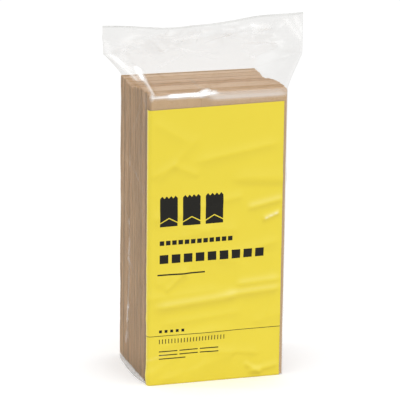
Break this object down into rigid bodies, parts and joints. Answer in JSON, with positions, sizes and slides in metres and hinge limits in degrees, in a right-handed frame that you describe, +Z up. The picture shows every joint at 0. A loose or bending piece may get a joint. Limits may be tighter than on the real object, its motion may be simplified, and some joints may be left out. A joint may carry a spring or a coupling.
{
  "type": "pack of paper lunch bags in clear film",
  "caption": "Tall block of flat-folded brown paper bags standing on end in a clear film wrapper, gathered above the bags into a wide flat sealed header, with a plain yellow printed front.",
  "frame": {"origin": "middle of the base, on the surface that the pack stands on", "axes": "+Z up along the bags towards the sealed header, -Y out of the printed front, +X to the right seen from the front"},
  "size_m": [0.195, 0.1014, 0.337],
  "materials": {
    "clear_film": "gloss",
    "kraft_paper": "matte"
  },
  "bodies": {
    "root": {"film_wrapper": "clear_film", "bag_pair_01": "kraft_paper", "bag_pair_02": "kraft_paper", "bag_pair_03": "kraft_paper", "bag_pair_04": "kraft_paper", "bag_pair_05": "kraft_paper", "bag_pair_06": "kraft_paper", "bag_pair_07": "kraft_paper", "bag_pair_08": "kraft_paper", "bag_pair_09": "kraft_paper", "bag_pair_10": "kraft_paper", "bag_pair_11": "kraft_paper", "bag_pair_12": "kraft_paper", "bag_pair_13": "kraft_paper", "bag_pair_14": "kraft_paper", "bag_pair_15": "kraft_paper", "bag_pair_16": "kraft_paper", "bag_pair_17": "kraft_paper", "bag_pair_18": "kraft_paper", "bag_pair_19": "kraft_paper", "bag_pair_20": "kraft_paper", "bag_pair_21": "kraft_paper", "bag_pair_22": "kraft_paper", "bag_pair_23": "kraft_paper", "bag_pair_24": "kraft_paper", "bag_pair_25": "kraft_paper", "bag_pair_26": "kraft_paper", "bag_pair_27": "kraft_paper", "bag_pair_28": "kraft_paper", "bag_pair_29": "kraft_paper", "bag_pair_30": "kraft_paper", "bag_pair_31": "kraft_paper", "bag_pair_32": "kraft_paper", "bag_pair_33": "kraft_paper", "bag_pair_34": "kraft_paper", "bag_pair_35": "kraft_paper", "bag_pair_36": "kraft_paper", "bag_pair_37": "kraft_paper", "bag_pair_38": "kraft_paper", "bag_pair_39": "kraft_paper", "bag_pair_40": "kraft_paper", "bag_pair_41": "kraft_paper", "bag_pair_42": "kraft_paper", "bag_pair_43": "kraft_paper", "bag_pair_44": "kraft_paper", "bag_pair_45": "kraft_paper", "bag_pair_46": "kraft_paper", "bag_pair_47": "kraft_paper", "bag_pair_48": "kraft_paper", "bag_pair_49": "kraft_paper", "bag_pair_50": "kraft_paper"}
  },
  "joints": []
}
